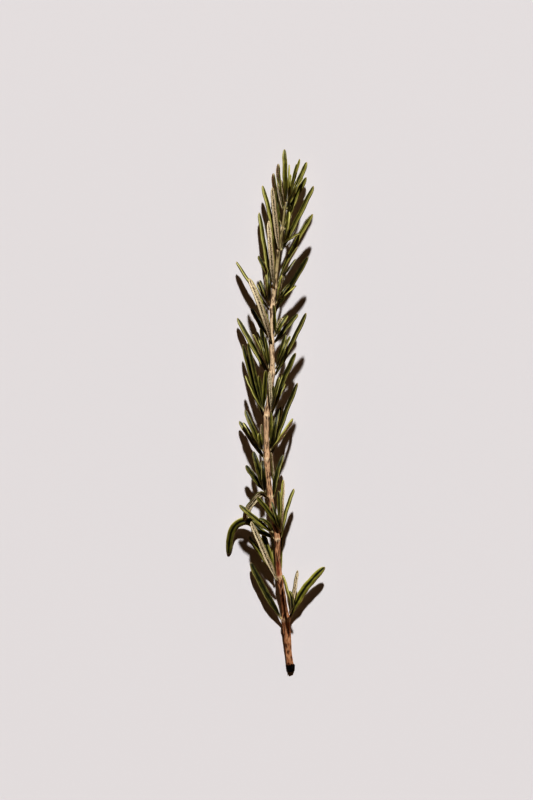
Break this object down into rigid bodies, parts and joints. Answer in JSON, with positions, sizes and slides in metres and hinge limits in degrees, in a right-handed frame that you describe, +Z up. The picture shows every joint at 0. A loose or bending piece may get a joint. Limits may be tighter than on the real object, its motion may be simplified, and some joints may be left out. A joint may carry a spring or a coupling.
{
  "type": "rosemary sprig",
  "caption": "Cut sprig of rosemary lying down: a woody stem with whorls of needle leaves and small side shoots.",
  "frame": {"origin": "on the surface the sprig lies on, under the middle of its box", "axes": "+Y from the cut end towards the growing tip, +Z up from the surface"},
  "size_m": [0.0296, 0.156, 0.0122],
  "materials": {
    "stem": "dry bark, tan with darker streaks",
    "leaf": "waxy olive green above, pale felted underside",
    "young_leaf": "waxy light green above, pale felted underside"
  },
  "bodies": {
    "root": {"leaf_01_left": "leaf", "leaf_01_right": "leaf", "leaf_02_left": "leaf", "leaf_02_under": "leaf", "leaf_03_left": "leaf", "leaf_03_right": "leaf", "leaf_03_under": "leaf", "leaf_04_left": "leaf", "leaf_04_right": "leaf", "leaf_05_left": "leaf", "leaf_05_right": "leaf", "leaf_05_under": "leaf", "leaf_06_left": "leaf", "leaf_06_right": "leaf", "leaf_07_left": "leaf", "leaf_07_right": "leaf", "leaf_07_under": "leaf", "leaf_08_right": "leaf", "leaf_08_top": "leaf", "leaf_09_left": "leaf", "leaf_09_right": "leaf", "leaf_09_under": "leaf", "leaf_10_left": "leaf", "leaf_10_right": "leaf", "leaf_10_top": "leaf", "leaf_11_left": "leaf", "leaf_11_right": "leaf", "leaf_11_top": "leaf", "leaf_11_under": "leaf", "leaf_12_left": "leaf", "leaf_12_right": "leaf", "leaf_13_left": "leaf", "leaf_13_right": "leaf", "leaf_14_right": "young_leaf", "leaf_14_top": "young_leaf", "shoot_01_right": "leaf", "shoot_02_left": "leaf", "shoot_03_left": "leaf", "shoot_03_right": "leaf", "shoot_04_left": "leaf", "shoot_04_right": "leaf", "shoot_05_left": "leaf", "shoot_05_right": "leaf", "shoot_06_left": "leaf", "shoot_06_right": "leaf", "shoot_07_left": "leaf", "shoot_07_right": "leaf", "shoot_08_left": "leaf", "shoot_08_right": "leaf", "shoot_09_left": "leaf", "shoot_09_right": "leaf", "shoot_10_left": "leaf", "shoot_10_right": "leaf", "shoot_11_right": "leaf", "shoot_12_left": "leaf", "shoot_12_right": "leaf", "shoot_13_left": "leaf", "shoot_13_right": "leaf", "shoot_14_right": "young_leaf", "stem": "stem"}
  },
  "joints": []
}
